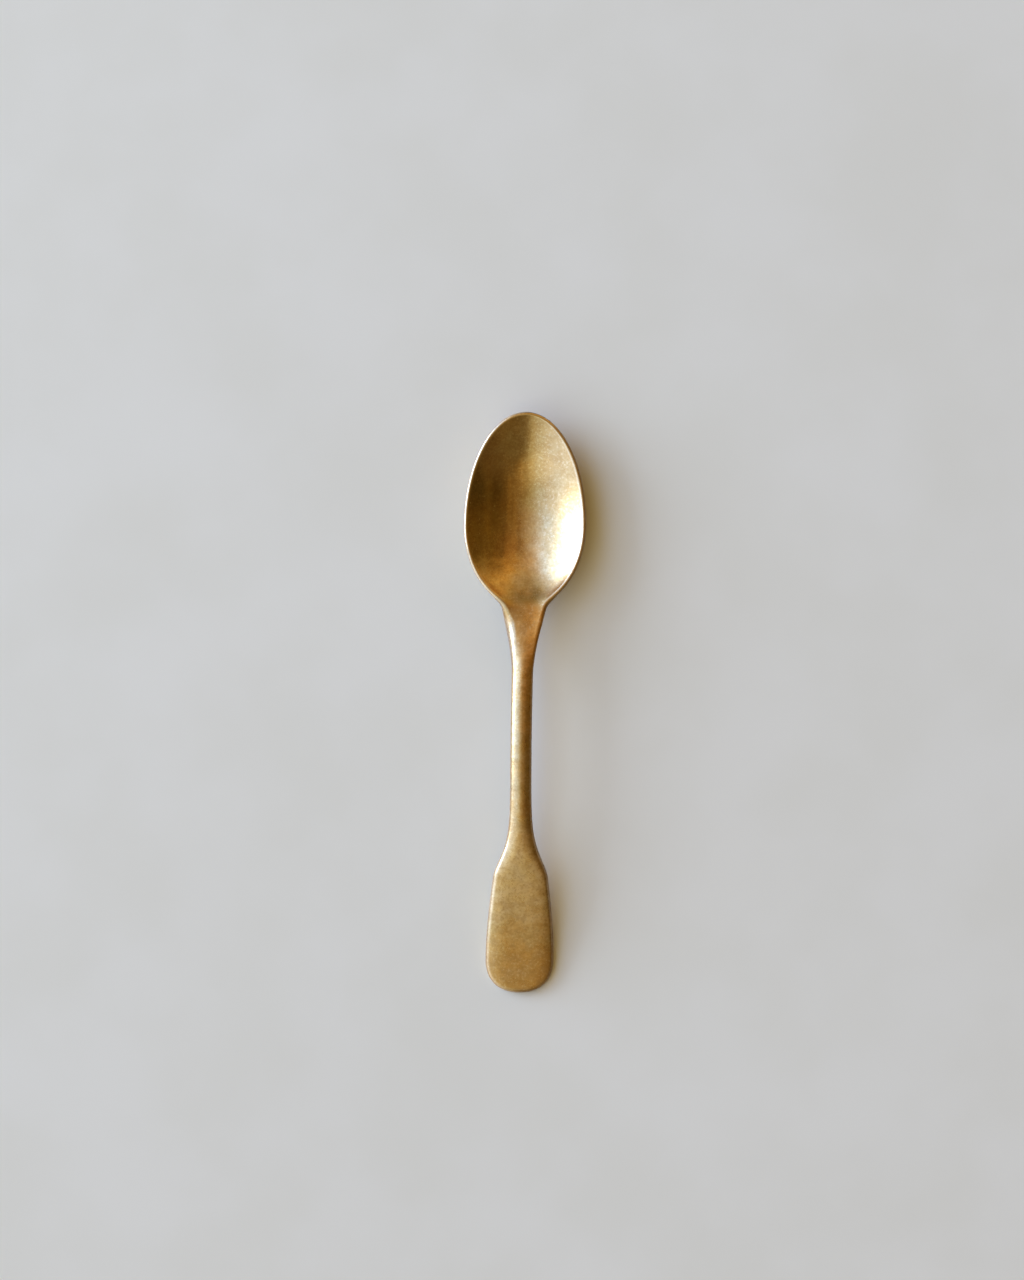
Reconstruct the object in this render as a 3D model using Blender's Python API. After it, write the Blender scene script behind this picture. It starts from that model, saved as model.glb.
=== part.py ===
"""Coffee spoon, lying face up: one piece of brass that runs from a thin dished bowl, through a
thick neck and a round stem, to a flat fiddle-shaped handle end.

Metres, Z up. The spoon lies along Y with the bowl's tip at +Y, centred on X = Y = 0. It rests on
the table at Z = 0, on a small flat under the bowl and another under the handle's end. Lengths are
measured along the spoon from the bowl's tip, and heights from the table.
"""

import math

import bmesh
import bpy
import numpy as np

# Lengths, one after the other from the bowl's tip to the handle's end.
BOWL_TIP_LENGTH = 0.0243
BOWL_HEEL_LENGTH = 0.0177
NECK_LENGTH = 0.0142
STEM_LENGTH = 0.0138
SHOULDER_LENGTH = 0.0302
PLATE_LENGTH = 0.0248

# Widths, each over the outside of the rounded edges.
BOWL_WIDTH = 0.0263
NECK_WIDTH = 0.0096
STEM_WIDTH = 0.0045
SHOULDER_WIDTH = 0.0119
PLATE_WIDTH = 0.0146

# Thickness of the metal along its edges, and of the bowl's wall in its middle.
RIM_THICKNESS = 0.0010
BOWL_WALL = 0.0012
NECK_THICKNESS = 0.0032
STEM_THICKNESS = 0.0022
PLATE_THICKNESS = 0.0021
END_THICKNESS = 0.0017

# How the handle's upper and lower faces are arched across: the radius of the stem's, and how far the
# plate's nearly flat ones stand out in the middle.
STEM_ROUND = 0.0027
PLATE_CROWN = 0.00028

# The edge line seen from the side: it dips along the bowl, arches over the stem and comes down to
# the table at the handle's end, where the edge stays just clear of it.
BOWL_DEPTH = 0.0053
TIP_RISE = 0.0006
NECK_RISE = 0.0014
ARCH_HEIGHT = 0.0100
SHOULDER_HEIGHT = 0.0065
END_CLEARANCE = 0.0001

# How the stretches run into each other.
NECK_FILLET = 0.0022
NECK_ROOT = 0.0045
NECK_BLEND = 0.0085
DROP_LENGTH = 0.0160
END_LENGTH = 0.0074
REST_FLAT_DEPTH = 0.0001

# Powers and shares that shape the curves: higher is fuller, or turns later and faster.
LENGTH_FULLNESS = 2.4
CROSS_FULLNESS = 2.0
HEEL_SOFTNESS = 0.25
HEEL_LEVEL = 0.6
HEEL_START = 0.45
HEEL_FULLNESS = 3.5
NECK_FLARE = 1.65
NECK_ROUNDING = 0.5
SHOULDER_FLARE = 3.1
THINNING = 1.5
FLATTENING = 0.8
FACE_FULLNESS = 4.2
END_FULLNESS = 2.4

# Fineness of the surface: sections along each stretch, steps across the sheet and round an edge.
TIP_ROWS = 18
HEEL_ROWS = 15
NECK_ROWS = 10
STEM_ROWS = 6
SHOULDER_ROWS = 18
PLATE_ROWS = 8
END_ROWS = 13
ACROSS = 18
ROUND_EDGE = 8

BRASS = (0.72, 0.47, 0.17, 1.0)
BRASS_ROUGHNESS = 0.3

BOWL_END = BOWL_TIP_LENGTH + BOWL_HEEL_LENGTH
NECK_END = BOWL_END + NECK_LENGTH
STEM_END = NECK_END + STEM_LENGTH
SHOULDER_END = STEM_END + SHOULDER_LENGTH
LENGTH = SHOULDER_END + PLATE_LENGTH
RIM_HEIGHT = BOWL_WALL + BOWL_DEPTH
RIM_RADIUS = RIM_THICKNESS / 2
END_RADIUS = END_THICKNESS / 2
LEAST_HALF_WIDTH = 0.0002
FIT_STEPS = 6
SLOPE_STEP = 1e-6
WELD_DISTANCE = 1e-6
QUARTER_TURN = math.pi / 2


def ease(share):
    """0 to 1 with a level start and finish."""
    share = np.clip(share, 0.0, 1.0)
    return share * share * (3.0 - 2.0 * share)


def soft_max(a, b, blend):
    """The larger of the two, rounded off where they are within the blend of each other."""
    near = np.maximum(blend - np.abs(a - b), 0.0)
    return np.maximum(a, b) + near * near / (4.0 * blend)


def spline(knots, at):
    """A smooth curve through the knots, straight at its first end and level at its last."""
    x, z = np.array(knots).T
    step = np.diff(x)
    slope = np.diff(z) / step
    count = len(x)
    ties = np.eye(count)
    turn = np.zeros(count)
    for i in range(1, count - 1):
        ties[i, i - 1:i + 2] = step[i - 1], 2.0 * (step[i - 1] + step[i]), step[i]
        turn[i] = 6.0 * (slope[i] - slope[i - 1])
    ties[-1, -2:] = step[-1], 2.0 * step[-1]
    turn[-1] = -6.0 * slope[-1]
    bend = np.linalg.solve(ties, turn)
    i = np.clip(np.searchsorted(x, at) - 1, 0, count - 2)
    b = (at - x[i]) / step[i]
    a = 1.0 - b
    curve = (a ** 3 - a) * bend[i] + (b ** 3 - b) * bend[i + 1]
    return a * z[i] + b * z[i + 1] + curve * step[i] ** 2 / 6.0


def edge_line(along):
    """Height of the rim's top and of the handle's upper edges."""
    knots = [
        (0.0, RIM_HEIGHT + TIP_RISE),
        (BOWL_TIP_LENGTH, RIM_HEIGHT),
        (BOWL_END, RIM_HEIGHT + NECK_RISE),
        (NECK_END + STEM_LENGTH / 2, ARCH_HEIGHT),
        (SHOULDER_END, SHOULDER_HEIGHT),
        (LENGTH, END_CLEARANCE + END_THICKNESS),
    ]
    return spline(knots, along)


def neck_share(along):
    """0 in the bowl and 1 in the handle, as the thin wall grows into the thick neck."""
    return ease(1.0 + (along - BOWL_END - NECK_ROOT) / NECK_BLEND)


def widening(along):
    """0 in the stem and 1 in the plate."""
    return ease(np.clip((along - STEM_END) / SHOULDER_LENGTH, 0.0, 1.0) ** SHOULDER_FLARE)


def thickness(along):
    """Of the metal along its edges. The handle thins as it widens."""
    stem = ease((along - BOWL_END) / NECK_LENGTH)
    plate = widening(along) ** THINNING
    end = ease((along - SHOULDER_END) / PLATE_LENGTH)
    return (
        RIM_THICKNESS
        + (NECK_THICKNESS - RIM_THICKNESS) * neck_share(along)
        + (STEM_THICKNESS - NECK_THICKNESS) * stem
        + (PLATE_THICKNESS - STEM_THICKNESS) * plate
        + (END_THICKNESS - PLATE_THICKNESS) * end
    )


def edge_radius(along):
    return thickness(along) / 2


def roundness(along):
    """1 along the round stem, and 0 in the bowl and in the plate."""
    grown = ease((along - BOWL_END) / NECK_LENGTH) ** NECK_ROUNDING
    return grown * (1.0 - widening(along)) ** FLATTENING


def doming(along):
    """How far the faces stand out in the middle, over the square of half their width."""
    bowl = (BOWL_WALL - RIM_THICKNESS) / 2 / (BOWL_WIDTH / 2 - RIM_RADIUS) ** 2
    plate = PLATE_CROWN / (PLATE_WIDTH / 2 - END_RADIUS) ** 2
    flat = np.where(along < STEM_END, bowl, plate)
    return flat * (0.5 / STEM_ROUND / flat) ** roundness(along)


def face_fullness(along):
    """The stem's faces are arched, and the others are flat in the middle and turn down at the edges."""
    return FACE_FULLNESS + (2.0 - FACE_FULLNESS) * roundness(along)


def edge_lean(along, half):
    """How far the faces have turned down where the rounded edge takes over from them."""
    return np.arctan(face_fullness(along) * doming(along) * half)


def handle_half_width(along):
    """Neck, stem, shoulder and plate. The neck's flare runs on a little way into the bowl."""
    flare = np.clip(NECK_END - along, 0.0, NECK_LENGTH + 2 * NECK_FILLET) / NECK_LENGTH
    side = np.clip((along - SHOULDER_END) / (PLATE_LENGTH - END_LENGTH), -1.0, 1.0)
    plate = SHOULDER_WIDTH + (PLATE_WIDTH - SHOULDER_WIDTH) * np.sin(side * QUARTER_TURN)
    return 0.5 * (
        STEM_WIDTH
        + (NECK_WIDTH - STEM_WIDTH) * flare ** NECK_FLARE
        + (plate - STEM_WIDTH) * widening(along)
    )


def handle_sheet(along):
    """Half the handle's width between its rounded edges, which stand out less where they lean."""
    outer = handle_half_width(along)
    half = outer - edge_radius(along)
    for _ in range(FIT_STEPS):
        edge = np.tan((QUARTER_TURN - edge_lean(along, half)) / 2)
        half = np.maximum(outer - edge_radius(along) * edge, LEAST_HALF_WIDTH)
    return half


def bowl_place(along):
    """Where a section lies in the bowl: -1 at the tip, 0 at the widest, 1 where the heel closes."""
    past = along - BOWL_TIP_LENGTH
    length = np.where(past < 0.0, BOWL_TIP_LENGTH, BOWL_HEEL_LENGTH)
    return past / (length - RIM_RADIUS)


def sheet_half_width(along):
    """Half the width between the edges of the faces, where the rounded edges take over."""
    inside = np.clip(1.0 - bowl_place(along) ** 2, 0.0, 1.0)
    bowl = (BOWL_WIDTH / 2 - RIM_RADIUS) * np.sqrt(inside)
    joined = soft_max(bowl, handle_sheet(along), NECK_FILLET)
    joined = np.where(along < BOWL_TIP_LENGTH, bowl, joined)
    past = np.clip((along - LENGTH + END_LENGTH) / (END_LENGTH - END_RADIUS), 0.0, 1.0)
    return joined * (1.0 - past ** END_FULLNESS) ** (1.0 / END_FULLNESS)


def hollow(x, along):
    """Depth of the bowl as a share of its greatest: 0 along the rim, and running out in the neck.

    Towards the heel the hollow's floor gets flatter across.
    """
    lengthwise = 1.0 - np.abs(bowl_place(along)) ** LENGTH_FULLNESS
    run_out = soft_max(lengthwise, 0.0, HEEL_SOFTNESS)
    lengthwise = np.where(along < BOWL_TIP_LENGTH, lengthwise, run_out)
    half = np.maximum(sheet_half_width(along), LEAST_HALF_WIDTH)
    flatter = ease((bowl_place(along) - HEEL_START) / (1.0 - HEEL_START))
    fullness = CROSS_FULLNESS + (HEEL_FULLNESS - CROSS_FULLNESS) * flatter
    return lengthwise * (1.0 - np.abs(x / half) ** fullness)


def sheet_height(x, along):
    """Height of the middle of the metal: the edge line, hollowed out by the bowl."""
    depth = BOWL_DEPTH + (BOWL_WALL - RIM_THICKNESS) / 2
    return edge_line(along) - edge_radius(along) - depth * hollow(x, along)


def unit(vectors):
    return vectors / np.linalg.norm(vectors, axis=-1, keepdims=True)


def sheet_normal(x, along):
    step = SLOPE_STEP
    slope_x = (sheet_height(x + step, along) - sheet_height(x - step, along)) / (2 * step)
    slope_y = (sheet_height(x, along - step) - sheet_height(x, along + step)) / (2 * step)
    return unit(np.stack([-slope_x, -slope_y, np.ones_like(slope_x)], axis=-1))


def heel_drop(x, along):
    """The neck's thickness reaching forwards under the bowl's heel as a tapering tongue."""
    reach = ease(1.0 + (along - BOWL_END - NECK_ROOT) / DROP_LENGTH)
    across = np.clip(1.0 - (x / (NECK_WIDTH / 2)) ** 2, 0.0, 1.0) ** 2
    return (NECK_THICKNESS - RIM_THICKNESS) * (reach - neck_share(along)) * across


def stations():
    """Distances from the tip to the sections, closest together where the outline turns most."""
    turn = np.linspace(0.0, QUARTER_TURN, TIP_ROWS + 1)
    tip = BOWL_TIP_LENGTH - (BOWL_TIP_LENGTH - RIM_RADIUS) * np.cos(turn)
    turn = np.linspace(0.0, QUARTER_TURN, HEEL_ROWS + 1)
    heel = BOWL_TIP_LENGTH + BOWL_HEEL_LENGTH * np.sin(turn)
    neck = np.linspace(BOWL_END, NECK_END, NECK_ROWS + 1)
    stem = np.linspace(NECK_END, STEM_END, STEM_ROWS + 1)
    turn = np.linspace(0.0, QUARTER_TURN, SHOULDER_ROWS + 1)
    shoulder = STEM_END + SHOULDER_LENGTH * np.sin(turn)
    plate = np.linspace(SHOULDER_END, LENGTH - END_LENGTH, PLATE_ROWS + 1)
    turn = np.linspace(0.0, QUARTER_TURN, END_ROWS + 1)
    end = LENGTH - END_LENGTH + (END_LENGTH - END_RADIUS) * np.sin(turn) ** (2.0 / END_FULLNESS)
    stretches = [tip, heel[1:], neck[1:], stem[1:], shoulder[1:], plate[1:], end[1:]]
    return np.concatenate(stretches)


def rounded_edge(edge, normal, radius, lean, side):
    """Arcs round one edge of the sheet, which carry its upper face smoothly on into its lower one."""
    across = np.array([-1.0, 1.0, 1.0])
    chain = np.concatenate([edge[1:2] * across, edge, edge[-2:-1] * across])
    outward = unit(side * np.cross(normal, chain[2:] - chain[:-2]))
    share = np.linspace(0.0, 1.0, ROUND_EDGE + 1)[1:-1]
    turn = (lean[:, None] + (math.pi - 2 * lean[:, None]) * share)[..., None]
    centre = edge - outward * (radius * np.tan(lean))[:, None]
    reach = (radius / np.cos(lean))[:, None, None]
    return centre[:, None] + reach * (np.cos(turn) * normal[:, None] + np.sin(turn) * outward[:, None])


def sections():
    """Closed rings of points round the spoon, one for each station."""
    along = stations()
    across = np.linspace(-1.0, 1.0, ACROSS + 1)
    width = sheet_half_width(along)
    x = width[:, None] * across
    place = np.broadcast_to(along[:, None], x.shape)
    middle = np.stack([x, LENGTH / 2 - place, sheet_height(x, place)], axis=-1)
    normal = sheet_normal(x, place)
    inner = 1.0 - np.abs(across) ** face_fullness(along)[:, None]
    radius = edge_radius(along)
    lean = edge_lean(along, width)
    half = radius[:, None] + (doming(along) * width ** 2)[:, None] * inner
    # Under the heel the metal grows straight down, so that the tongue there stays smooth.
    upright = normal * [1.0, 0.0, 1.0]
    heel = ease(bowl_place(along) / HEEL_LEVEL)[:, None] * inner
    under = unit(normal + (upright - normal) * heel[..., None])
    top = middle + normal * half[..., None]
    bottom = middle - under * (half + heel_drop(x, place))[..., None]
    right = rounded_edge(middle[:, -1], normal[:, -1], radius, lean, 1.0)
    left = rounded_edge(middle[:, 0], normal[:, 0], radius, lean, -1.0)
    rings = np.concatenate([top, right, bottom[:, ::-1], left[:, ::-1]], axis=1)
    # Two small worn flats, under the bowl and under the handle's end, stand on the table.
    rings[..., 2] = np.maximum(rings[..., 2] - REST_FLAT_DEPTH, 0.0)
    return rings


def loft(name, rings):
    """A closed surface through the rings. The first and last ring have no width, so they close it."""
    shape = bmesh.new()
    grid = [[shape.verts.new(point) for point in ring] for ring in rings]
    for near, far in zip(grid, grid[1:]):
        for i in range(len(near)):
            shape.faces.new((near[i - 1], near[i], far[i], far[i - 1]))
    bmesh.ops.remove_doubles(shape, verts=shape.verts, dist=WELD_DISTANCE)
    bmesh.ops.recalc_face_normals(shape, faces=shape.faces)
    mesh = bpy.data.meshes.new(name)
    shape.to_mesh(mesh)
    shape.free()
    mesh.shade_smooth()
    return bpy.data.objects.new(name, mesh)


def brass():
    material = bpy.data.materials.new("brass")
    material.use_nodes = True
    shader = material.node_tree.nodes["Principled BSDF"]
    shader.inputs["Base Color"].default_value = BRASS
    shader.inputs["Metallic"].default_value = 1.0
    shader.inputs["Roughness"].default_value = BRASS_ROUGHNESS
    return material


def main():
    for old in list(bpy.data.objects):
        bpy.data.objects.remove(old)
    group = bpy.data.collections.new("coffee_spoon")
    bpy.context.scene.collection.children.link(group)
    spoon = loft("spoon", sections())
    spoon.data.materials.append(brass())
    group.objects.link(spoon)


main()
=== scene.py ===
"""Looks of the coffee spoon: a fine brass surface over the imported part, seen straight from above on a
plain pale table, lit by a dim room and by a wide soft window on the left.

Metres, in the part's own frame: the spoon lies along Y with the bowl's tip at +Y, on the table at
Z = 0.
"""

import math

import bmesh
import bpy
import numpy as np
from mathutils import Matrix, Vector


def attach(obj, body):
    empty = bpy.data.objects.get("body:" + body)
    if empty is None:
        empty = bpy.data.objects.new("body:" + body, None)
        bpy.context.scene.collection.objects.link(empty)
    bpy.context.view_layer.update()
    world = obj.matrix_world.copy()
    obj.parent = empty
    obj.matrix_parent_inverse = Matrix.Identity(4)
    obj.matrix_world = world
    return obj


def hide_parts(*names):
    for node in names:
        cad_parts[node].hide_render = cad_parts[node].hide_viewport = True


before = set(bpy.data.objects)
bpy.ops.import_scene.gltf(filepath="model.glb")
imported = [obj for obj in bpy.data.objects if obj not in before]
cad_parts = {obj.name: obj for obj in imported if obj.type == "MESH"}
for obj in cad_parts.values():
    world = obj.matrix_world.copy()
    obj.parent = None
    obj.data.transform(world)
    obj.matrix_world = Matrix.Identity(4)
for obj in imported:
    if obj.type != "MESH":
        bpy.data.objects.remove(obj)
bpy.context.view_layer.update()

# The spoon's sizes, as in the part: lengths from the bowl's tip to the handle's end, widths, metal.
BOWL_TIP_LENGTH = 0.0243
BOWL_HEEL_LENGTH = 0.0177
NECK_LENGTH = 0.0142
STEM_LENGTH = 0.0138
SHOULDER_LENGTH = 0.0302
PLATE_LENGTH = 0.0248
BOWL_WIDTH = 0.0263
NECK_WIDTH = 0.0096
STEM_WIDTH = 0.0045
SHOULDER_WIDTH = 0.0119
PLATE_WIDTH = 0.0146
RIM_THICKNESS = 0.0010
BOWL_WALL = 0.0012
NECK_THICKNESS = 0.0032
STEM_THICKNESS = 0.0022
PLATE_THICKNESS = 0.0021
END_THICKNESS = 0.0017
END_CLEARANCE = 0.0001
STEM_ROUND = 0.0027
PLATE_CROWN = 0.00028
BOWL_DEPTH = 0.0053
TIP_RISE = 0.0006
NECK_RISE = 0.0014
ARCH_HEIGHT = 0.0100
SHOULDER_HEIGHT = 0.0065
NECK_FILLET = 0.0022
NECK_ROOT = 0.0045
NECK_BLEND = 0.0085
DROP_LENGTH = 0.0160
END_LENGTH = 0.0074
REST_FLAT_DEPTH = 0.0001
LENGTH_FULLNESS = 2.4
CROSS_FULLNESS = 2.0
HEEL_SOFTNESS = 0.25
HEEL_LEVEL = 0.6
HEEL_START = 0.45
HEEL_FULLNESS = 3.5
NECK_FLARE = 1.65
NECK_ROUNDING = 0.5
SHOULDER_FLARE = 3.1
THINNING = 1.5
FLATTENING = 0.8
FACE_FULLNESS = 4.2
END_FULLNESS = 2.4

# What hand work and wear left uneven. The neck leans to the right and its right edge is the higher
# one, and the stem bows to the left. Each is greatest at its place and dies away over its length, the
# neck's more slowly towards the stem. The plate's right edge is rubbed down, from where the handle
# widens, and the corners between the bowl and the neck are rubbed soft. Edges thinner than the last
# size are rubbed pale.
NECK_LEAN = 0.4
NECK_TWIST = 0.00055
TWIST_FULLNESS = 3
LEAN_PLACE = 0.0460
LEAN_LENGTH = 0.0080
LEAN_FADE = 0.0150
STEM_BOW = 0.00025
BOW_PLACE = 0.0700
BOW_LENGTH = 0.0320
EDGE_RUB = 0.00018
RUB_START = 0.0820
RUB_GROWTH = 0.0180
RUB_FULLNESS = 8.0
SOFT_CORNER = 0.0006
SOFT_REACH = 0.0070
RUBBED_BELOW = 0.0022

# Fineness of the shown surface. Rows come closer together over each turn, and the heel's stop short of
# a quarter turn, where they would come too close.
TIP_ROWS = 72
HEEL_ROWS = 60
NECK_ROWS = 40
STEM_ROWS = 20
SHOULDER_ROWS = 72
PLATE_ROWS = 32
END_ROWS = 44
ACROSS = 72
ROUND_EDGE = 20
QUARTER_TURN = math.pi / 2
HEEL_TURN = math.radians(77)

BOWL_END = BOWL_TIP_LENGTH + BOWL_HEEL_LENGTH
NECK_END = BOWL_END + NECK_LENGTH
STEM_END = NECK_END + STEM_LENGTH
SHOULDER_END = STEM_END + SHOULDER_LENGTH
LENGTH = SHOULDER_END + PLATE_LENGTH
RIM_HEIGHT = BOWL_WALL + BOWL_DEPTH
RIM_RADIUS = RIM_THICKNESS / 2
END_RADIUS = END_THICKNESS / 2
LEAST_HALF_WIDTH = 0.0002
SLOPE_STEP = 1e-6
WELD_DISTANCE = 1e-6
FIT_STEPS = 6
RUBBED_LAYER = "rubbed"

# The camera looks straight down. The spoon lies a little right of the picture's middle and below it,
# with the tip leaning right. The picture's height is what the camera sees at the rim's level.
PICTURE_HEIGHT = 0.27468
CAMERA_HEIGHT = 0.9
RIM_LEVEL = 0.006
SPOON_RIGHT = 0.00229
SPOON_BELOW = 0.01357
SPOON_LEAN = math.radians(0.73)
SENSOR_MM = 24.0
CLIP_START = 0.01


def ease(share):
    """0 to 1 with a level start and finish."""
    share = np.clip(share, 0.0, 1.0)
    return share * share * (3.0 - 2.0 * share)


def soft_max(a, b, blend):
    """The larger of the two, rounded off where they are within the blend of each other."""
    near = np.maximum(blend - np.abs(a - b), 0.0)
    return np.maximum(a, b) + near * near / (4.0 * blend)


def spline(knots, at):
    """A smooth curve through the knots, straight at its first end and level at its last."""
    x, z = np.array(knots).T
    step = np.diff(x)
    slope = np.diff(z) / step
    count = len(x)
    ties = np.eye(count)
    turn = np.zeros(count)
    for i in range(1, count - 1):
        ties[i, i - 1:i + 2] = step[i - 1], 2.0 * (step[i - 1] + step[i]), step[i]
        turn[i] = 6.0 * (slope[i] - slope[i - 1])
    ties[-1, -2:] = step[-1], 2.0 * step[-1]
    turn[-1] = -6.0 * slope[-1]
    bend = np.linalg.solve(ties, turn)
    i = np.clip(np.searchsorted(x, at) - 1, 0, count - 2)
    b = (at - x[i]) / step[i]
    a = 1.0 - b
    curve = (a ** 3 - a) * bend[i] + (b ** 3 - b) * bend[i + 1]
    return a * z[i] + b * z[i + 1] + curve * step[i] ** 2 / 6.0


def edge_line(along):
    """Height of the rim's top and of the handle's upper edges."""
    knots = [
        (0.0, RIM_HEIGHT + TIP_RISE),
        (BOWL_TIP_LENGTH, RIM_HEIGHT),
        (BOWL_END, RIM_HEIGHT + NECK_RISE),
        (NECK_END + STEM_LENGTH / 2, ARCH_HEIGHT),
        (SHOULDER_END, SHOULDER_HEIGHT),
        (LENGTH, END_CLEARANCE + END_THICKNESS),
    ]
    return spline(knots, along)


def neck_share(along):
    """0 in the bowl and 1 in the handle, as the thin wall grows into the thick neck."""
    return ease(1.0 + (along - BOWL_END - NECK_ROOT) / NECK_BLEND)


def widening(along):
    """0 in the stem and 1 in the plate."""
    return ease(np.clip((along - STEM_END) / SHOULDER_LENGTH, 0.0, 1.0) ** SHOULDER_FLARE)


def thickness(along):
    """Of the metal along its edges. The handle thins as it widens."""
    stem = ease((along - BOWL_END) / NECK_LENGTH)
    plate = widening(along) ** THINNING
    end = ease((along - SHOULDER_END) / PLATE_LENGTH)
    return (
        RIM_THICKNESS
        + (NECK_THICKNESS - RIM_THICKNESS) * neck_share(along)
        + (STEM_THICKNESS - NECK_THICKNESS) * stem
        + (PLATE_THICKNESS - STEM_THICKNESS) * plate
        + (END_THICKNESS - PLATE_THICKNESS) * end
    )


def edge_radius(along):
    return thickness(along) / 2


def roundness(along):
    """1 along the round stem, and 0 in the bowl and in the plate."""
    grown = ease((along - BOWL_END) / NECK_LENGTH) ** NECK_ROUNDING
    return grown * (1.0 - widening(along)) ** FLATTENING


def doming(along):
    """How far the faces stand out in the middle, over the square of half their width."""
    bowl = (BOWL_WALL - RIM_THICKNESS) / 2 / (BOWL_WIDTH / 2 - RIM_RADIUS) ** 2
    plate = PLATE_CROWN / (PLATE_WIDTH / 2 - END_RADIUS) ** 2
    flat = np.where(along < STEM_END, bowl, plate)
    return flat * (0.5 / STEM_ROUND / flat) ** roundness(along)


def face_fullness(along):
    """The faces are arched in the stem, and elsewhere flat with edges that turn down."""
    return FACE_FULLNESS + (2.0 - FACE_FULLNESS) * roundness(along)


def edge_lean(along, half):
    """How far the faces have turned down where the rounded edge takes over from them."""
    return np.arctan(face_fullness(along) * doming(along) * half)


def handle_half_width(along):
    """Neck, stem, shoulder and plate. The neck's flare runs on a little way into the bowl."""
    flare = np.clip(NECK_END - along, 0.0, NECK_LENGTH + 2 * NECK_FILLET) / NECK_LENGTH
    side = np.clip((along - SHOULDER_END) / (PLATE_LENGTH - END_LENGTH), -1.0, 1.0)
    plate = SHOULDER_WIDTH + (PLATE_WIDTH - SHOULDER_WIDTH) * np.sin(side * QUARTER_TURN)
    return 0.5 * (
        STEM_WIDTH
        + (NECK_WIDTH - STEM_WIDTH) * flare ** NECK_FLARE
        + (plate - STEM_WIDTH) * widening(along)
    )


def handle_sheet(along):
    """Half the handle's width between its rounded edges, which stand out less where they lean."""
    outer = handle_half_width(along)
    half = outer - edge_radius(along)
    for _ in range(FIT_STEPS):
        edge = np.tan((QUARTER_TURN - edge_lean(along, half)) / 2)
        half = np.maximum(outer - edge_radius(along) * edge, LEAST_HALF_WIDTH)
    return half


def bowl_place(along):
    """Where a section lies in the bowl: -1 at the tip, 0 at the widest, 1 where the heel closes."""
    past = along - BOWL_TIP_LENGTH
    length = np.where(past < 0.0, BOWL_TIP_LENGTH, BOWL_HEEL_LENGTH)
    return past / (length - RIM_RADIUS)


def sheet_half_width(along):
    """Half the width between the centres of the rounded edges."""
    inside = np.clip(1.0 - bowl_place(along) ** 2, 0.0, 1.0)
    bowl = (BOWL_WIDTH / 2 - RIM_RADIUS) * np.sqrt(inside)
    joined = soft_max(bowl, handle_sheet(along), NECK_FILLET)
    joined = np.where(along < BOWL_TIP_LENGTH, bowl, joined)
    past = np.clip((along - LENGTH + END_LENGTH) / (END_LENGTH - END_RADIUS), 0.0, 1.0)
    return joined * (1.0 - past ** END_FULLNESS) ** (1.0 / END_FULLNESS)


def hollow(x, along):
    """Depth of the bowl as a share of its greatest: 0 along the rim, and running out in the neck."""
    lengthwise = 1.0 - np.abs(bowl_place(along)) ** LENGTH_FULLNESS
    run_out = soft_max(lengthwise, 0.0, HEEL_SOFTNESS)
    lengthwise = np.where(along < BOWL_TIP_LENGTH, lengthwise, run_out)
    half = np.maximum(sheet_half_width(along), LEAST_HALF_WIDTH)
    flatter = ease((bowl_place(along) - HEEL_START) / (1.0 - HEEL_START))
    fullness = CROSS_FULLNESS + (HEEL_FULLNESS - CROSS_FULLNESS) * flatter
    return lengthwise * (1.0 - np.abs(x / half) ** fullness)


def sheet_height(x, along):
    """Height of the middle of the metal: the edge line, hollowed out by the bowl."""
    depth = BOWL_DEPTH + (BOWL_WALL - RIM_THICKNESS) / 2
    return edge_line(along) - edge_radius(along) - depth * hollow(x, along)


def unit(vectors):
    return vectors / np.linalg.norm(vectors, axis=-1, keepdims=True)


def sheet_normal(x, along):
    step = SLOPE_STEP
    slope_x = (sheet_height(x + step, along) - sheet_height(x - step, along)) / (2 * step)
    slope_y = (sheet_height(x, along - step) - sheet_height(x, along + step)) / (2 * step)
    return unit(np.stack([-slope_x, -slope_y, np.ones_like(slope_x)], axis=-1))


def heel_drop(x, along):
    """The neck's thickness reaching forwards under the bowl's heel as a tapering tongue."""
    reach = ease(1.0 + (along - BOWL_END - NECK_ROOT) / DROP_LENGTH)
    across = np.clip(1.0 - (x / (NECK_WIDTH / 2)) ** 2, 0.0, 1.0) ** 2
    return (NECK_THICKNESS - RIM_THICKNESS) * (reach - neck_share(along)) * across


def uneven(rings, along):
    """The rings with the neck's lean and twist, the stem's bow and the plate's rubbed edge."""
    x, y, z = np.moveaxis(rings, -1, 0)
    fading = np.where(along < LEAN_PLACE, LEAN_LENGTH, LEAN_FADE)
    leaning = ease(1.0 - np.abs(along - LEAN_PLACE) / fading)
    bow = STEM_BOW * ease(1.0 - np.abs(along - BOW_PLACE) / BOW_LENGTH)
    above = z - z.mean(axis=1, keepdims=True)
    right = np.maximum(x / handle_half_width(along), 0.0)
    twist = NECK_TWIST * leaning * right ** TWIST_FULLNESS
    rub = EDGE_RUB * ease((along - RUB_START) / RUB_GROWTH) * right ** RUB_FULLNESS
    return np.stack([x + NECK_LEAN * leaning * above - bow, y, z + twist - rub], axis=-1)


def softened(rings, along):
    """The rings with the corners between the bowl and the neck rubbed soft."""
    reach = SOFT_CORNER * ease(1.0 - np.abs(along - BOWL_END) / SOFT_REACH) + WELD_DISTANCE
    apart = (along[:, None] - along) / reach[:, None]
    share = np.exp(-0.5 * apart ** 2) * np.gradient(along)
    share /= share.sum(axis=1, keepdims=True)
    return np.einsum("ij,jkl->ikl", share, rings)


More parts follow.
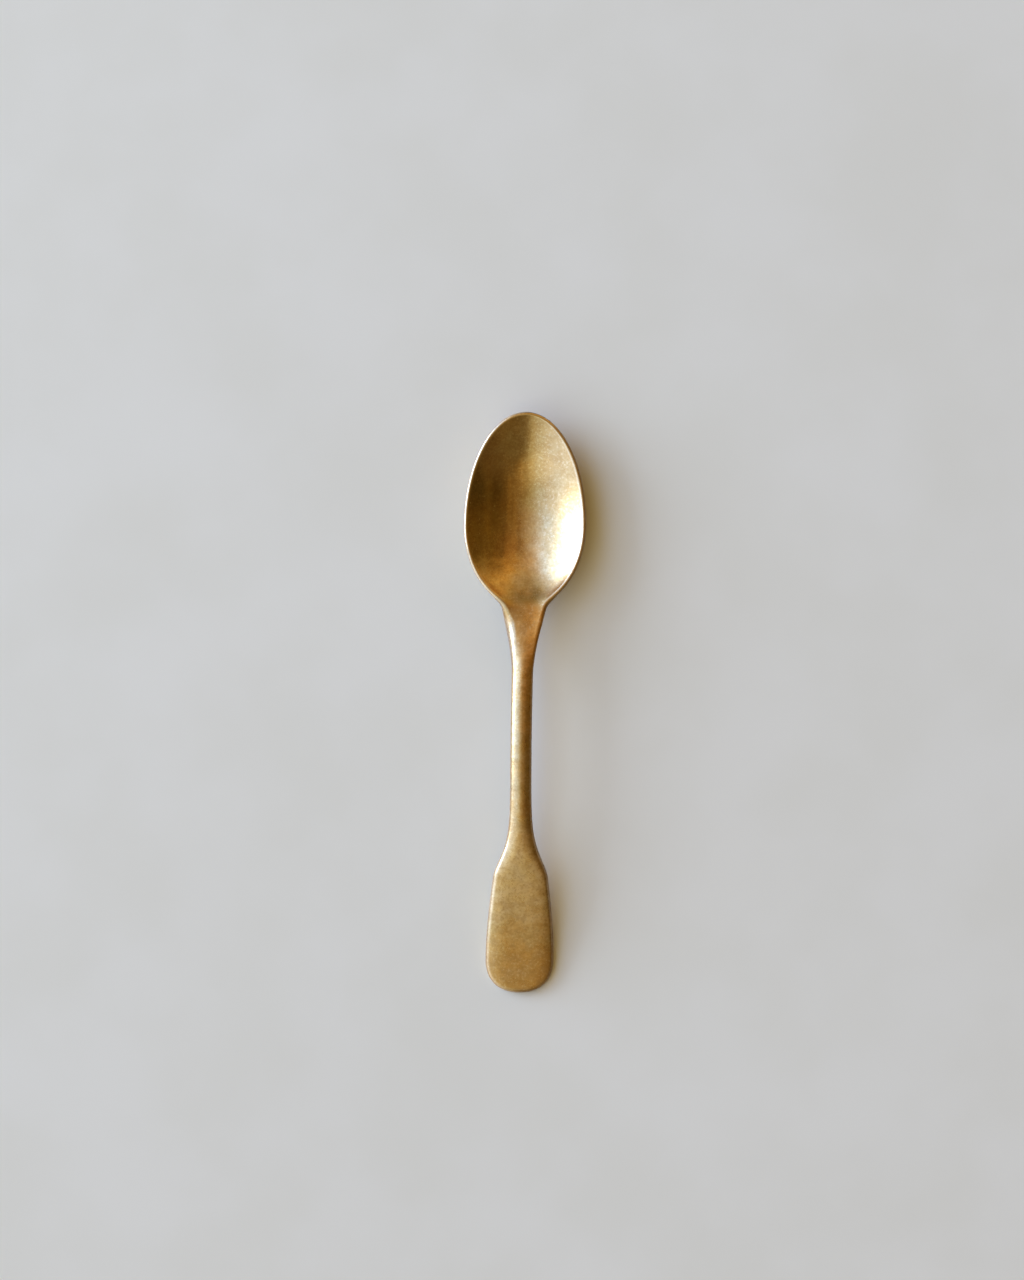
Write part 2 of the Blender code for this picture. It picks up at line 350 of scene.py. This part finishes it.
def stations():
    """Distances from the tip to the sections, closest together where the outline turns most."""
    turn = np.linspace(0.0, QUARTER_TURN, TIP_ROWS + 1)
    tip = BOWL_TIP_LENGTH - (BOWL_TIP_LENGTH - RIM_RADIUS) * np.cos(turn)
    turn = np.linspace(0.0, HEEL_TURN, HEEL_ROWS + 1)
    heel = BOWL_TIP_LENGTH + BOWL_HEEL_LENGTH * np.sin(turn) / math.sin(HEEL_TURN)
    neck = np.linspace(BOWL_END, NECK_END, NECK_ROWS + 1)
    stem = np.linspace(NECK_END, STEM_END, STEM_ROWS + 1)
    turn = np.linspace(0.0, QUARTER_TURN, SHOULDER_ROWS + 1)
    shoulder = STEM_END + SHOULDER_LENGTH * np.sin(turn)
    plate = np.linspace(SHOULDER_END, LENGTH - END_LENGTH, PLATE_ROWS + 1)
    turn = np.linspace(0.0, QUARTER_TURN, END_ROWS + 1)
    end = LENGTH - END_LENGTH + (END_LENGTH - END_RADIUS) * np.sin(turn) ** (2.0 / END_FULLNESS)
    stretches = [tip, heel[1:], neck[1:], stem[1:], shoulder[1:], plate[1:], end[1:]]
    return np.concatenate(stretches)


def rounded_edge(edge, normal, radius, lean, side):
    """Arcs round one edge of the sheet, which carry its upper face smoothly on into its lower one."""
    across = np.array([-1.0, 1.0, 1.0])
    chain = np.concatenate([edge[1:2] * across, edge, edge[-2:-1] * across])
    outward = unit(side * np.cross(normal, chain[2:] - chain[:-2]))
    share = np.linspace(0.0, 1.0, ROUND_EDGE + 1)[1:-1]
    turn = (lean[:, None] + (math.pi - 2 * lean[:, None]) * share)[..., None]
    centre = edge - outward * (radius * np.tan(lean))[:, None]
    reach = (radius / np.cos(lean))[:, None, None]
    return centre[:, None] + reach * (np.cos(turn) * normal[:, None] + np.sin(turn) * outward[:, None])


def sections():
    """Closed rings of points round the spoon, one for each station."""
    along = stations()
    across = np.linspace(-1.0, 1.0, ACROSS + 1)
    width = sheet_half_width(along)
    x = width[:, None] * across
    place = np.broadcast_to(along[:, None], x.shape)
    middle = np.stack([x, LENGTH / 2 - place, sheet_height(x, place)], axis=-1)
    normal = sheet_normal(x, place)
    inner = 1.0 - np.abs(across) ** face_fullness(along)[:, None]
    radius = edge_radius(along)
    lean = edge_lean(along, width)
    half = radius[:, None] + (doming(along) * width ** 2)[:, None] * inner
    upright = normal * [1.0, 0.0, 1.0]
    heel = ease(bowl_place(along) / HEEL_LEVEL)[:, None] * inner
    under = unit(normal + (upright - normal) * heel[..., None])
    top = middle + normal * half[..., None]
    bottom = middle - under * (half + heel_drop(x, place))[..., None]
    right = rounded_edge(middle[:, -1], normal[:, -1], radius, lean, 1.0)
    left = rounded_edge(middle[:, 0], normal[:, 0], radius, lean, -1.0)
    rings = np.concatenate([top, right, bottom[:, ::-1], left[:, ::-1]], axis=1)
    rings = softened(uneven(rings, along[:, None]), along)
    rings[..., 2] = np.maximum(rings[..., 2] - REST_FLAT_DEPTH, 0.0)
    return rings


def rubbing():
    """How far each point of the rings is rubbed pale: the edges alone, and the thinnest most."""
    thin = (RUBBED_BELOW - thickness(stations())) / (RUBBED_BELOW - RIM_THICKNESS)
    face = np.zeros(ACROSS + 1)
    face[[0, -1]] = 1.0
    edge = np.ones(ROUND_EDGE - 1)
    return np.clip(thin, 0.0, 1.0)[:, None] * np.concatenate([face, edge, face, edge])


def placed(name, data):
    """A new object in the scene, with the data."""
    made = bpy.data.objects.new(name, data)
    bpy.context.scene.collection.objects.link(made)
    return made


def loft(name, rings, rubbed):
    """A closed surface through the rings. The first and last ring have no width, so they close it."""
    shape = bmesh.new()
    layer = shape.verts.layers.float.new(RUBBED_LAYER)
    grid = [[shape.verts.new(point) for point in ring] for ring in rings]
    for ring, values in zip(grid, rubbed):
        for vert, value in zip(ring, values):
            vert[layer] = value
    for near, far in zip(grid, grid[1:]):
        for i in range(len(near)):
            shape.faces.new((near[i - 1], near[i], far[i], far[i - 1]))
    bmesh.ops.remove_doubles(shape, verts=shape.verts, dist=WELD_DISTANCE)
    bmesh.ops.recalc_face_normals(shape, faces=shape.faces)
    mesh = bpy.data.meshes.new(name)
    shape.to_mesh(mesh)
    shape.free()
    mesh.shade_smooth()
    return placed(name, mesh)


class Graph:
    """A short way to write a node tree: a call adds a node, sets its sockets and gives its output."""

    def __init__(self, tree):
        self.tree = tree

    def add(self, kind, output=0, sockets=(), **settings):
        made = self.tree.nodes.new(kind)
        for key, value in settings.items():
            setattr(made, key, value)
        for key, value in dict(sockets).items():
            self.put(made.inputs[key], value)
        return made.outputs[output]

    def put(self, socket, value):
        if isinstance(value, bpy.types.NodeSocket):
            self.tree.links.new(value, socket)
        else:
            socket.default_value = value

    def math(self, operation, a, b=0.0):
        return self.add("ShaderNodeMath", sockets={0: a, 1: b}, operation=operation)

    def spread(self, value, low, high, to_low=0.0, to_high=1.0):
        """The value's stretch from low to high, eased and drawn out to the new ends."""
        sockets = {0: value, 1: low, 2: high, 3: to_low, 4: to_high}
        return self.add("ShaderNodeMapRange", sockets=sockets, interpolation_type="SMOOTHSTEP")

    def ways(self, vector):
        """The vector's X and Y."""
        made = self.tree.nodes.new("ShaderNodeSeparateXYZ")
        self.put(made.inputs[0], vector)
        return made.outputs["X"], made.outputs["Y"]

    def noise(self, place, per_metre, detail=2.0, rough=0.5):
        sockets = {"Vector": place, "Scale": per_metre, "Detail": detail, "Roughness": rough}
        return self.add("ShaderNodeTexNoise", sockets=sockets)

    def bump(self, height, depth, normal=None):
        sockets = {"Strength": 1.0, "Distance": depth, "Height": height}
        if normal:
            sockets["Normal"] = normal
        return self.add("ShaderNodeBump", sockets=sockets)

    def squeezed(self, place, scale, turn=0.0):
        """The same place in a stretched and turned frame, for marks that run one way."""
        sockets = {"Vector": place, "Rotation": (0.0, 0.0, turn), "Scale": scale}
        return self.add("ShaderNodeMapping", sockets=sockets)

    def mix(self, share, a, b, blend="MIX"):
        made = self.tree.nodes.new("ShaderNodeMix")
        made.data_type = "RGBA"
        made.blend_type = blend
        for socket, value in zip((made.inputs[0], made.inputs[6], made.inputs[7]), (share, a, b)):
            self.put(socket, value)
        return made.outputs[2]


def material(name):
    made = bpy.data.materials.new(name)
    made.use_nodes = True
    graph = Graph(made.node_tree)
    return made, graph, made.node_tree.nodes["Principled BSDF"]


# Colours of the metal, and the greatest share of the rubbed one.
WARM = (0.78, 0.49, 0.17, 1.0)
GREENISH = (0.73, 0.53, 0.23, 1.0)
PALE = (0.90, 0.68, 0.35, 1.0)
BROWN = (0.50, 0.29, 0.09, 1.0)
RUBBED = (0.95, 0.78, 0.48, 1.0)
RUBBED_SHARE = 0.32

# Patina and painted light along the spoon: where on Y each patch sets in, is full, begins to fade and
# ends, its greatest share, and its colour. From the handle's end to the bowl's tip: brown, partly
# patina and partly painted shade at the plate's end; paler, a painted highlight on the plate's upper
# part;
# painted shade where the hollow runs out into the neck; and brown.
PATINA_AND_PAINTED_LIGHT = [
    (-0.080, -0.070, -0.058, -0.047, 0.65, (0.64, 0.35, 0.09, 1.0)),
    (-0.050, -0.043, -0.033, -0.025, 0.65, (0.96, 0.72, 0.36, 1.0)),
    (0.0165, 0.0195, 0.0215, 0.0240, 0.80, (0.35, 0.24, 0.08, 1.0)),
    (0.0260, 0.0420, 0.0700, 0.0800, 0.50, (0.56, 0.36, 0.13, 1.0)),
]

# Painted light on the neck: orange painted on, most of all on its right, standing for brighter light
# there, and painted shade dulling the highlight on its left side: the same four places on Y, the spread
# over X, and the colour.
NECK_PAINTED_LIGHT = [
    ((0.001, 0.013, 0.018, 0.024), (-0.001, 0.002, 0.35, 0.92), (0.86, 0.47, 0.12, 1.0)),
    ((0.005, 0.011, 0.0165, 0.0195), (-0.0012, -0.0024, 0.0, 0.6), (0.50, 0.40, 0.24, 1.0)),
]

# Noise in the metal, by how much there is per metre, its detail and its roughness, and the spread of
# each into shares of a colour or into the satin's roughness. Swells and pits have depths.
CLOUDS = (180.0, 4.0, 0.6)
CLOUD_SPREAD = (0.36, 0.64)
BLOTCHES = (520.0, 4.0, 0.65)
BLOTCH_SPREAD = (0.40, 0.64, 0.0, 0.45)
GRAIN = (1900.0, 3.0, 0.65)
BROWN_GRAIN = (0.52, 0.68, 0.0, 0.50)
PALE_GRAIN = (0.47, 0.34, 0.0, 0.42)
SATIN = (420.0, 3.0)
SATIN_SPREAD = (0.3, 0.7, 0.27, 0.37)
SWELLS = (130.0, 1.0)
SWELL_DEPTH = 6e-5
PIT_DEPTH = 1.2e-5

# The bowl's left half and its tip are sleeker: the spreads over Y and over X, and how much of the
# roughness is left there.
SLEEK_PLACES = [
    ((0.024, 0.034), (0.001, -0.004)),
    ((0.036, 0.050), (0.007, 0.002)),
]
SLEEK_ROUGHNESS = 0.6

# Fine scratches: marks per metre along X, Y and Z, the turn, and the spread. They add roughness.
SCRATCHES = [
    ((5200.0, 240.0, 400.0), math.radians(6), (0.66, 0.74)),
    ((300.0, 5200.0, 400.0), math.radians(28), (0.68, 0.76)),
]
SCRATCH_ROUGHNESS = 0.06


def stretch(graph, value, start, full, fading, end):
    """1 from full to fading, and 0 before the start and after the end."""
    return graph.math("MULTIPLY", graph.spread(value, start, full), graph.spread(value, end, fading))


def brass():
    """Satin brass with a light patina, painted shade and painted highlights: warm and greenish clouds,
    fine pits and short fine scratches.
    """
    made, g, shader = material("brass_aged_painted_light")
    place = g.add("ShaderNodeTexCoord", output="Object")
    across, along = g.ways(place)
    grain = g.noise(place, *GRAIN)
    colour = g.mix(g.spread(g.noise(place, *CLOUDS), *CLOUD_SPREAD), WARM, GREENISH)
    # Patches along the spoon: painted shade at the heel and the plate's end, a painted highlight on the
    # plate.
    for *places, share, tint in PATINA_AND_PAINTED_LIGHT:
        patch = stretch(g, along, *places)
        colour = g.mix(g.math("MULTIPLY", patch, share), colour, tint)
    # Painted light and painted shade on the neck.
    for places, side, tint in NECK_PAINTED_LIGHT:
        patch = g.math("MULTIPLY", stretch(g, along, *places), g.spread(across, *side))
        colour = g.mix(patch, colour, tint)
    colour = g.mix(g.spread(g.noise(place, *BLOTCHES), *BLOTCH_SPREAD), colour, BROWN)
    colour = g.mix(g.spread(grain, *BROWN_GRAIN), colour, BROWN)
    colour = g.mix(g.spread(grain, *PALE_GRAIN), colour, PALE)
    edges = g.add("ShaderNodeAttribute", output="Fac", attribute_name=RUBBED_LAYER)
    colour = g.mix(g.math("MULTIPLY", edges, RUBBED_SHARE), colour, RUBBED)
    rough = g.spread(g.noise(place, *SATIN), *SATIN_SPREAD)
    sleek = 0.0
    for lengthwise, sideways in SLEEK_PLACES:
        spot = g.math("MULTIPLY", g.spread(along, *lengthwise), g.spread(across, *sideways))
        sleek = g.math("MAXIMUM", sleek, spot)
    rough = g.math("MULTIPLY", rough, g.spread(sleek, 0.0, 1.0, 1.0, SLEEK_ROUGHNESS))
    for scale, turn, found in SCRATCHES:
        marks = g.spread(g.noise(g.squeezed(place, scale, turn), 1.0, 1.0), *found)
        rough = g.math("ADD", rough, g.math("MULTIPLY", marks, SCRATCH_ROUGHNESS))
    swells = g.bump(g.noise(place, *SWELLS), SWELL_DEPTH)
    pits = g.bump(grain, PIT_DEPTH, swells)
    g.put(shader.inputs["Base Color"], colour)
    g.put(shader.inputs["Metallic"], 1.0)
    g.put(shader.inputs["Roughness"], rough)
    g.put(shader.inputs["Normal"], pits)
    return made


# The table: its two shades, and the two that the metal mirrors of it, painted light: white on the left
# as if lit by the window, and painted shade, dim on the right, with the spread over X between them.
TABLE_REACH = 3.0
TABLE_SHADES = [(0.84, 0.775, 0.535, 1.0), (0.87, 0.805, 0.565, 1.0)]
TABLE_CLOUDS = (30.0, 3.0)
TABLE_SPREAD = (0.3, 0.7)
TABLE_ROUGHNESS = 0.9
TABLE_GLOSS = 0.1
MIRRORED_PAINTED_LIGHT = [(1.0, 1.0, 1.0, 1.0), (0.32, 0.28, 0.23, 1.0)]
MIRRORED_LIGHT_SPREAD = (-0.008, 0.004)


def table_top():
    """Plain and pale, with hardly any clouds. In the metal it shows painted light: white on the left
    and painted shade on the right.
    """
    made, g, shader = material("table_pale_painted_reflection")
    place = g.add("ShaderNodeTexCoord", output="Object")
    across, _ = g.ways(place)
    pale = g.mix(g.spread(g.noise(place, *TABLE_CLOUDS), *TABLE_SPREAD), *TABLE_SHADES)
    # Painted light and shade that only the metal sees: white on the left, dim on the right.
    painted_in_metal = g.mix(g.spread(across, *MIRRORED_LIGHT_SPREAD), *MIRRORED_PAINTED_LIGHT)
    mirrored = g.add("ShaderNodeLightPath", output="Is Glossy Ray")
    g.put(shader.inputs["Base Color"], g.mix(mirrored, pale, painted_in_metal))
    g.put(shader.inputs["Roughness"], TABLE_ROUGHNESS)
    g.put(shader.inputs["Specular IOR Level"], TABLE_GLOSS)
    return made


# Room light by direction: across from the left (-1) to the right (1), and along from the handle's end
# (-1) to the bowl's tip (1), with 0 overhead. The second list scales the first.
ACROSS_LIGHT = [
    (-1.0, (0.45, 0.56, 0.95)),
    (-0.7, (0.40, 0.49, 0.80)),
    (-0.4, (0.32, 0.37, 0.46)),
    (-0.18, (0.255, 0.25, 0.20)),
    (0.0, (0.175, 0.142, 0.076)),
    (0.15, (0.140, 0.101, 0.045)),
    (0.4, (0.092, 0.061, 0.022)),
    (0.7, (0.075, 0.047, 0.012)),
    (1.0, (0.05, 0.033, 0.009)),
]
ALONG_LIGHT = [
    (-1.0, (0.66, 0.66, 0.66)),
    (-0.8, (0.70, 0.70, 0.70)),
    (-0.62, (0.80, 0.80, 0.80)),
    (-0.43, (1.00, 0.99, 0.98)),
    (-0.2, (0.66, 0.65, 0.62)),
    (0.0, (0.67, 0.64, 0.58)),
    (0.25, (0.82, 0.68, 0.62)),
    (0.65, (0.85, 0.70, 0.64)),
    (0.85, (0.57, 0.53, 0.49)),
    (1.0, (0.18, 0.17, 0.16)),
]
LIGHT_STRENGTH = 3.3

# What else the metal mirrors of the room, as spreads over the same two ways: a pale wall round the
# window, warm light at the far right, upright streaks, a warm glow towards the bowl's tip, and a dark
# figure towards the handle's end, darker on its right. The figure's left edge slants, and further down
# it runs straight. The camera itself sees a plain backdrop.
WALL_COLOUR = (0.345, 0.52, 1.15, 1.0)
WALL_ACROSS = (-0.25, -0.65)
WALL_ALONG = (-0.12, 0.12, 0.60, 0.85)
FAR_COLOUR = (0.073, 0.043, 0.009, 1.0)
FAR_ACROSS = (0.55, 0.85)
FAR_ALONG = (-0.14, 0.08)
STREAK_SQUEEZE = (7.0, 0.8, 0.8)
STREAK_SPREAD = (0.38, 0.62, 0.55, 1.45)
STREAK_ACROSS = (-0.1, 0.2)
GLOW_COLOUR = (0.225, 0.152, 0.057, 1.0)
GLOW_ACROSS = (-0.1, 0.3)
GLOW_ALONG = (0.44, 0.72)
GLOW_FADING = (0.76, 0.92, 1.0, 0.65)
FIGURE_COLOURS = [(0.06, 0.045, 0.021, 1.0), (0.042, 0.028, 0.012, 1.0)]
FIGURE_SPREAD = (0.5, 0.85)
FIGURE_SHIFT = 0.5
FIGURE_SLANT = 1.9
FIGURE_LEFT = -0.2
FIGURE_SOFTNESS = 0.28
FIGURE_ALONG = (-0.22, -0.42)
BACKDROP = (0.17, 0.17, 0.17, 1.0)

# The window: its width along Y, its height and its middle.
KEY_WIDTH = 0.81
KEY_HEIGHT = 0.52
KEY_PLACE = (-1.0, 0.375, 0.34)
KEY_TURN = (QUARTER_TURN, 0.0, -QUARTER_TURN)
KEY_COLOUR = (0.72, 0.93, 1.55)
KEY_ENERGY = 8.8


def ramp(graph, value, stops):
    """A colour by the value, from -1 to 1."""
    made = graph.tree.nodes.new("ShaderNodeValToRGB")
    made.color_ramp.interpolation = "EASE"
    marks = made.color_ramp.elements
    for place, _ in stops[1:-1]:
        marks.new((place + 1) / 2)
    for mark, (place, shade) in zip(marks, stops):
        mark.position = (place + 1) / 2
        mark.color = (*shade, 1.0)
    sockets = {0: value, 1: -1.0, 2: 1.0, 3: 0.0, 4: 1.0}
    graph.put(made.inputs[0], graph.add("ShaderNodeMapRange", sockets=sockets))
    return made.outputs[0]


def sky():
    """Soft room light: bright and cool towards the left, dim and warm towards the right."""
    world = bpy.data.worlds.new("room")
    bpy.context.scene.world = world
    world.use_nodes = True
    g = Graph(world.node_tree)
    back = world.node_tree.nodes["Background"]
    sight = g.add("ShaderNodeTexCoord", output="Generated")
    across, along = g.ways(sight)
    room = ramp(g, across, ACROSS_LIGHT)
    room = g.mix(1.0, room, ramp(g, along, ALONG_LIGHT), "MULTIPLY")
    wall = g.math("MULTIPLY", g.spread(across, *WALL_ACROSS), stretch(g, along, *WALL_ALONG))
    room = g.mix(wall, room, WALL_COLOUR)
    far = g.math("MULTIPLY", g.spread(across, *FAR_ACROSS), g.spread(along, *FAR_ALONG))
    room = g.mix(far, room, FAR_COLOUR)
    streaks = g.spread(g.noise(g.squeezed(sight, STREAK_SQUEEZE), 1.0, 2.0), *STREAK_SPREAD)
    streaked = g.mix(1.0, room, streaks, "MULTIPLY")
    room = g.mix(g.spread(across, *STREAK_ACROSS), room, streaked)
    glow = g.math("MULTIPLY", g.spread(across, *GLOW_ACROSS), g.spread(along, *GLOW_ALONG))
    glow = g.math("MULTIPLY", glow, g.spread(along, *GLOW_FADING))
    room = g.mix(glow, room, GLOW_COLOUR)
    edge = g.math("MULTIPLY", g.math("ADD", along, FIGURE_SHIFT), FIGURE_SLANT)
    past = g.math("SUBTRACT", across, g.math("MAXIMUM", edge, FIGURE_LEFT))
    figure = g.spread(past, 0.0, FIGURE_SOFTNESS)
    figure = g.math("MULTIPLY", figure, g.spread(along, *FIGURE_ALONG))
    room = g.mix(figure, room, g.mix(g.spread(across, *FIGURE_SPREAD), *FIGURE_COLOURS))
    seen = g.add("ShaderNodeLightPath", output="Is Camera Ray")
    g.put(back.inputs["Color"], g.mix(seen, room, BACKDROP))
    g.put(back.inputs["Strength"], LIGHT_STRENGTH)


def key_light():
    """A wide soft window on the left."""
    data = bpy.data.lights.new("key", "AREA")
    data.shape = "RECTANGLE"
    data.size = KEY_WIDTH
    data.size_y = KEY_HEIGHT
    data.energy = KEY_ENERGY
    data.color = KEY_COLOUR
    lamp = placed("key", data)
    lamp.location = KEY_PLACE
    lamp.rotation_euler = KEY_TURN


def camera():
    """Straight above, turned so that the spoon leans as in the photo."""
    data = bpy.data.cameras.new("above")
    data.sensor_fit = "VERTICAL"
    data.sensor_height = SENSOR_MM
    data.lens = SENSOR_MM * (CAMERA_HEIGHT - RIM_LEVEL) / PICTURE_HEIGHT
    data.clip_start = CLIP_START
    eye = placed("above", data)
    right = Vector((math.cos(SPOON_LEAN), math.sin(SPOON_LEAN), 0.0))
    up = Vector((-math.sin(SPOON_LEAN), math.cos(SPOON_LEAN), 0.0))
    eye.location = up * SPOON_BELOW - right * SPOON_RIGHT + Vector((0.0, 0.0, CAMERA_HEIGHT))
    eye.rotation_euler = (0.0, 0.0, SPOON_LEAN)
    bpy.context.scene.camera = eye


def table():
    """One wide flat face under the spoon."""
    far = TABLE_REACH
    corners = [(-far, -far, 0.0), (far, -far, 0.0), (far, far, 0.0), (-far, far, 0.0)]
    mesh = bpy.data.meshes.new("table")
    mesh.from_pydata(corners, [], [(0, 1, 2, 3)])
    made = placed("table", mesh)
    made.data.materials.append(table_top())


spoon = loft("spoon_surface", sections(), rubbing())
spoon.data.materials.append(brass())
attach(spoon, "root")
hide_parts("spoon")

table()
sky()
key_light()
camera()
bpy.context.scene.view_settings.view_transform = "Standard"
